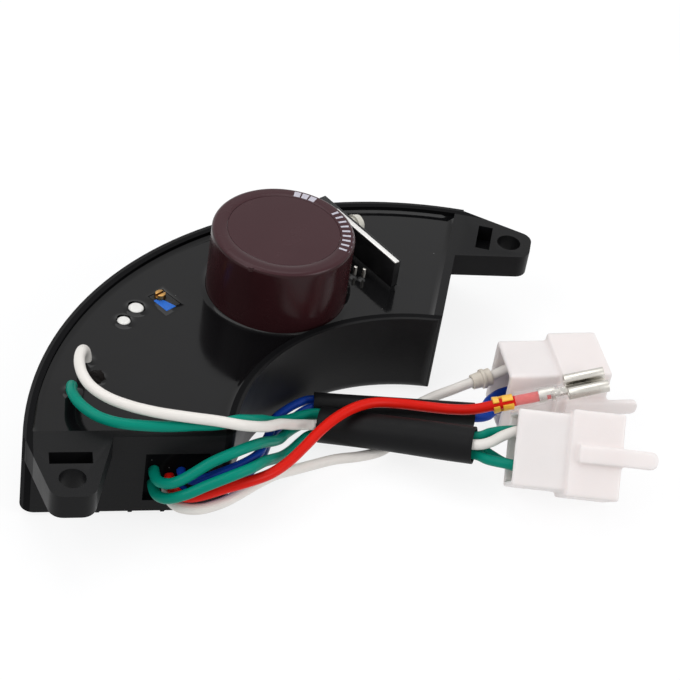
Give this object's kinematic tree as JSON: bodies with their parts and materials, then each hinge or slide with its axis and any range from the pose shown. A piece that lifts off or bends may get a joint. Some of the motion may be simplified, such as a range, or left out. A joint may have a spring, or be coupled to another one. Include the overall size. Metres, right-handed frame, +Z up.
{
  "type": "automatic voltage regulator",
  "caption": "Crescent-shaped potted generator voltage regulator with mounting ears, a tall capacitor, a heat plate, a turning trimmer screw and a short wire harness.",
  "frame": {"origin": "midway between the two mounting holes, on the seat under the ears", "axes": "+X along the line of holes, +Y towards the outer arc, +Z up towards the open side of the tray"},
  "size_m": [0.16, 0.1292, 0.0416],
  "materials": {
    "case_black": "satin moulded plastic",
    "potting_black": "glossy cast resin",
    "board_green": "coated glass-fibre board",
    "bare_aluminium": "plain aluminium",
    "cap_sleeve": "glossy shrink film",
    "cap_disc": "glossy disc",
    "tinned": "tinned metal",
    "device_black": "moulded epoxy",
    "screw_pale": "pale plated steel",
    "trimmer_blue": "moulded plastic",
    "brass": "plain brass",
    "nylon_white": "plain nylon",
    "bead_dark": "dipped resin",
    "ceramic": "ceramic coat",
    "blue_can": "shrink film",
    "wire_white": "flexible plastic",
    "wire_green": "flexible plastic",
    "wire_red": "flexible plastic",
    "wire_blue": "flexible plastic",
    "sleeve_black": "flexible sleeve",
    "boot_grey": "soft rubber",
    "connector_nylon": "translucent nylon",
    "clip_yellow": "yellow plated",
    "cover_clear": "clear flexible plastic"
  },
  "bodies": {
    "regulator": {"case": "case_black", "potting": "potting_black", "circuit_board": "board_green", "capacitor_can": "bare_aluminium", "capacitor_sleeve": "cap_sleeve", "capacitor_top_disc": "cap_disc", "capacitor_pins": "tinned", "heat_plate": "bare_aluminium", "power_transistor": "device_black", "transistor_leads": "tinned", "rectifier": "device_black", "rectifier_leads": "tinned", "plate_screw": "screw_pale", "plate_nut": "tinned", "trimmer_body": "trimmer_blue", "trimmer_pins": "tinned", "board_post": "nylon_white", "small_board_post": "nylon_white", "thermistor": "bead_dark", "trimmed_leads": "tinned", "bridge_rectifier": "device_black", "power_resistor": "ceramic", "filter_capacitor": "blue_can", "white_wire_a": "wire_white", "white_wire_b": "wire_white", "green_wire_a": "wire_green", "green_wire_b": "wire_green", "green_wire_c": "wire_green", "red_wire": "wire_red", "blue_wire_1": "wire_blue", "blue_wire_2": "wire_blue", "main_sleeve": "sleeve_black", "blue_sleeve": "sleeve_black", "wire_boot": "boot_grey", "front_connector": "connector_nylon", "front_terminals": "tinned", "rear_connector": "connector_nylon", "rear_terminals": "tinned", "red_clip": "clip_yellow", "terminal_cover": "cover_clear", "spade_terminal": "tinned"},
    "trimmer_screw": {"trimmer_screw": "brass"}
  },
  "joints": [
    {"name": "trimmer_turn", "type": "hinge", "parent": "regulator", "child": "trimmer_screw", "pos_m": [-0.01498, 0.03764, 0.005], "axis": [0, 0, 1], "continuous": true}
  ]
}
